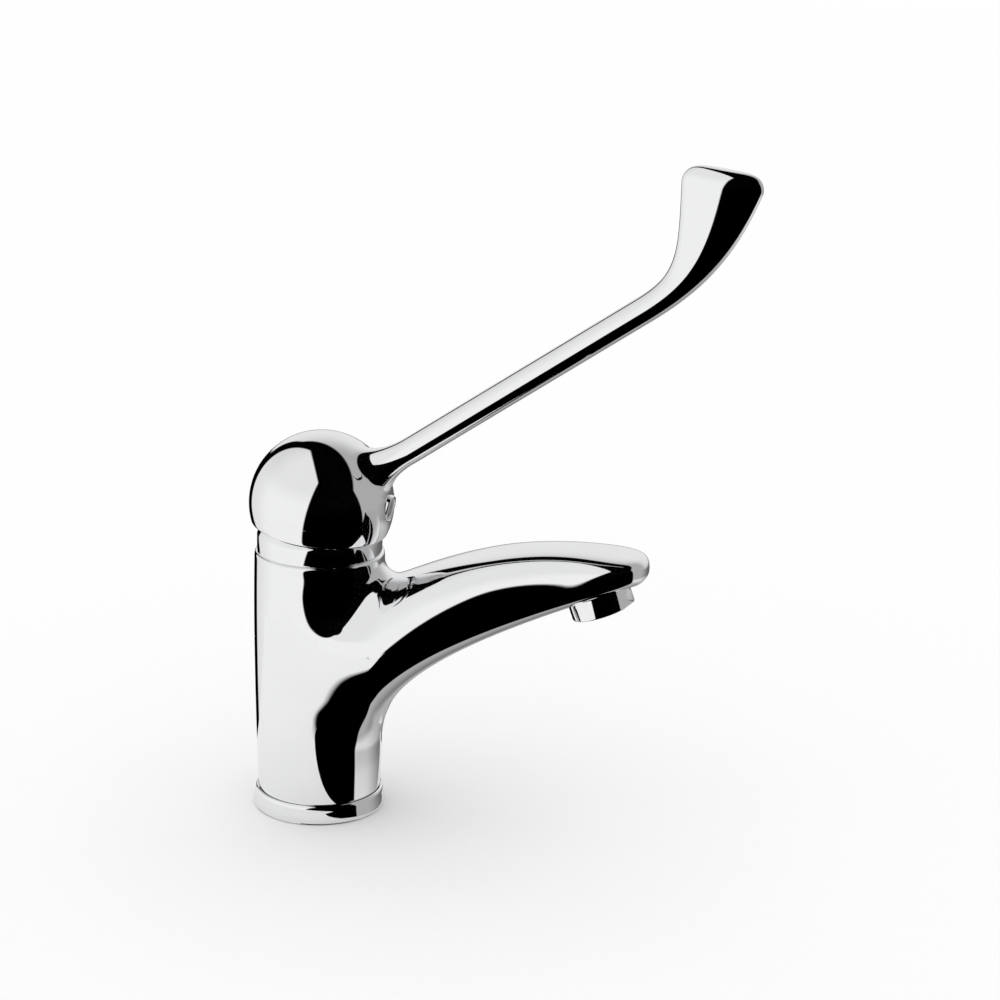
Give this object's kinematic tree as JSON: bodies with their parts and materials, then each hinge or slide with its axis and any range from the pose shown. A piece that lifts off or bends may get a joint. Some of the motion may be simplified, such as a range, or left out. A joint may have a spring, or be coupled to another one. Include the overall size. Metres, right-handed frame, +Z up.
{
  "type": "elbow lever basin mixer tap",
  "caption": "Basin mixer tap with a round column, a curved spout and a domed head whose long upswept elbow lever lifts for flow and swings sideways for temperature.",
  "frame": {"origin": "centre of the foot, on the deck that the tap stands on", "axes": "+X along the spout, away from the column; +Z up the column's axis"},
  "size_m": [0.1943, 0.0564, 0.2644],
  "materials": {
    "chrome": "bright chrome plating on cast metal",
    "brass": "machined, unplated",
    "steel": "ground stainless steel",
    "steel_mesh": "punched stainless sheet",
    "white_ceramic": "lapped alumina ceramic",
    "ivory_plastic": "moulded, satin",
    "white_plastic": "moulded, satin",
    "grey_plastic": "moulded, satin",
    "red_plastic": "moulded, satin",
    "black_rubber": "moulded nitrile rubber"
  },
  "bodies": {
    "tap_body": {"foot_ring": "chrome", "deck_seal": "black_rubber", "body_casting": "chrome", "aerator_washer": "black_rubber", "aerator_housing": "chrome", "aerator_insert": "white_plastic", "aerator_strainer": "steel_mesh", "cartridge_base": "ivory_plastic", "port_seals": "black_rubber", "fixed_disc": "white_ceramic", "cartridge_housing": "ivory_plastic", "stop_ring": "red_plastic", "cartridge_nut": "brass", "collar_seal": "black_rubber", "collar_cap": "chrome"},
    "turret": {"rotor": "grey_plastic", "rotor_seal": "black_rubber", "pivot_pin": "steel"},
    "disc_set": {"moving_disc": "white_ceramic", "disc_carrier": "grey_plastic"},
    "lever": {"lever_handle": "chrome", "spindle": "brass", "grub_screw": "steel", "index_plug": "chrome"}
  },
  "joints": [
    {"name": "temperature_swivel", "type": "hinge", "parent": "tap_body", "child": "turret", "pos_m": [0, 0, 0.101], "axis": [0, 0, 1], "range_deg": [-45, 45]},
    {"name": "lever_lift", "type": "hinge", "parent": "turret", "child": "lever", "pos_m": [0, 0, 0.101], "axis": [0, -1, 0], "range_deg": [0, 25]},
    {"name": "disc_slide", "type": "slide", "parent": "turret", "child": "disc_set", "axis": [1, 0, 0], "range_m": [0, 0.0044]}
  ],
  "couplings": [
    {"joint": "disc_slide", "follows": "lever_lift", "m_per_rad": 0.00992}
  ]
}
